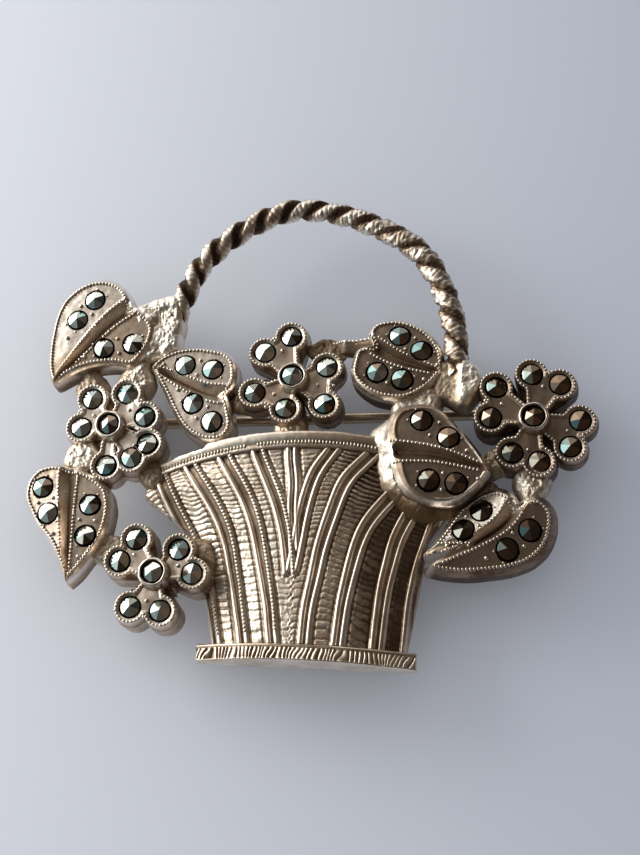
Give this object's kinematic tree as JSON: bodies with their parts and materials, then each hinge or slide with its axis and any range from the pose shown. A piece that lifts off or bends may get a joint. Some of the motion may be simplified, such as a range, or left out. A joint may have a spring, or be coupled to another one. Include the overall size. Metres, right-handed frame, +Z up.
{
  "type": "brooch",
  "caption": "Openwork flower-basket brooch in silver with a twisted rope handle, leaves and flowers set with marcasites, and a hinged pin with a turning safety catch behind.",
  "frame": {"origin": "centre of the basket panel's flat back face, on the back plane of the castings", "axes": "+X to the right as seen from the front, along the pin; +Z up, towards the handle; +Y out of the back, towards the garment, so the front faces -Y"},
  "size_m": [0.0397, 0.0069, 0.035],
  "materials": {
    "cast_silver": "aged satin silver",
    "basket_silver": "aged engraved silver",
    "rope_silver": "aged knurled silver",
    "marcasite": "polished",
    "pin_metal": "drawn wire"
  },
  "bodies": {
    "brooch": {"basket_foot_band": "basket_silver", "basket_panel": "basket_silver", "basket_rim": "basket_silver", "catch_base": "pin_metal", "flower_bottom_left": "cast_silver", "flower_bottom_left_centre_cup": "cast_silver", "flower_bottom_left_centre_stone": "marcasite", "flower_bottom_left_stones_1": "marcasite", "flower_bottom_left_stones_2": "marcasite", "flower_bottom_left_stones_3": "marcasite", "flower_left": "cast_silver", "flower_left_centre_cup": "cast_silver", "flower_left_centre_stone": "marcasite", "flower_left_stones_1": "marcasite", "flower_left_stones_2": "marcasite", "flower_left_stones_3": "marcasite", "flower_left_stones_4": "marcasite", "flower_right": "cast_silver", "flower_right_centre_cup": "cast_silver", "flower_right_centre_stone": "marcasite", "flower_right_stones_1": "marcasite", "flower_right_stones_2": "marcasite", "flower_right_stones_3": "marcasite", "flower_right_stones_4": "marcasite", "flower_top": "cast_silver", "flower_top_centre_cup": "cast_silver", "flower_top_centre_stone": "marcasite", "flower_top_stones_1": "marcasite", "flower_top_stones_2": "marcasite", "flower_top_stones_3": "marcasite", "handle_socket_left": "cast_silver", "handle_socket_right": "cast_silver", "handle_strand_a": "rope_silver", "handle_strand_b": "rope_silver", "hinge_base": "pin_metal", "hinge_rivet": "pin_metal", "leaf_centre_right": "cast_silver", "leaf_centre_right_stones_a": "marcasite", "leaf_centre_right_stones_b": "marcasite", "leaf_inner_left": "cast_silver", "leaf_inner_left_stones_a": "marcasite", "leaf_inner_left_stones_b": "marcasite", "leaf_lower_left": "cast_silver", "leaf_lower_left_stones_a": "marcasite", "leaf_lower_left_stones_b": "marcasite", "leaf_lower_right": "cast_silver", "leaf_lower_right_stones_a": "marcasite", "leaf_lower_right_stones_b": "marcasite", "leaf_top_right": "cast_silver", "leaf_top_right_stones_a": "marcasite", "leaf_top_right_stones_b": "marcasite", "leaf_upper_left": "cast_silver", "leaf_upper_left_stones_a": "marcasite", "leaf_upper_left_stones_b": "marcasite", "twig_left": "cast_silver", "twig_right": "cast_silver", "twig_top": "cast_silver"},
    "pin": {"pin_stem": "pin_metal"},
    "roller": {"catch_roller": "pin_metal"}
  },
  "joints": [
    {"name": "pin_swing", "type": "hinge", "parent": "brooch", "child": "pin", "pos_m": [-0.0133, 0.0022, 0.0115], "axis": [0, 0, 1], "range_deg": [0, 95]},
    {"name": "roller_turn", "type": "hinge", "parent": "brooch", "child": "roller", "pos_m": [0.0157, 0.0022, 0.0115], "axis": [1, 0, 0], "range_deg": [0, 120]}
  ]
}
